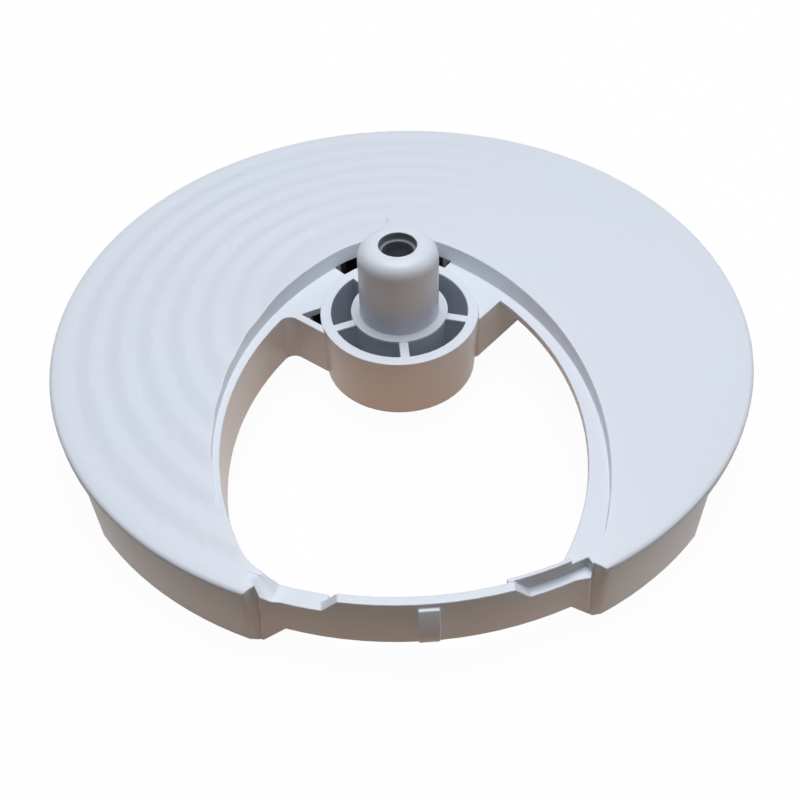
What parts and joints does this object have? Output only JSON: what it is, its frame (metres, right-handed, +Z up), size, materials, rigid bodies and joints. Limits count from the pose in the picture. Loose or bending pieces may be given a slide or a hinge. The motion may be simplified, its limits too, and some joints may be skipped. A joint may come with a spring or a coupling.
{
  "type": "insert holder disc",
  "caption": "White moulded disc with a hollow hub post, a spoked ring and a ledged window that carries a cutting insert in a food processor bowl.",
  "frame": {"origin": "on the spindle axis, level with the plane of the plate's outer rim", "axes": "+Z up along the spindle axis towards the post's top, -Y from the hub towards the front bridge, +X to the smooth side of the plate"},
  "size_m": [0.16, 0.16, 0.0379],
  "materials": {
    "white_plastic": "satin moulded white"
  },
  "bodies": {
    "root": {"insert_holder": "white_plastic"}
  },
  "joints": []
}
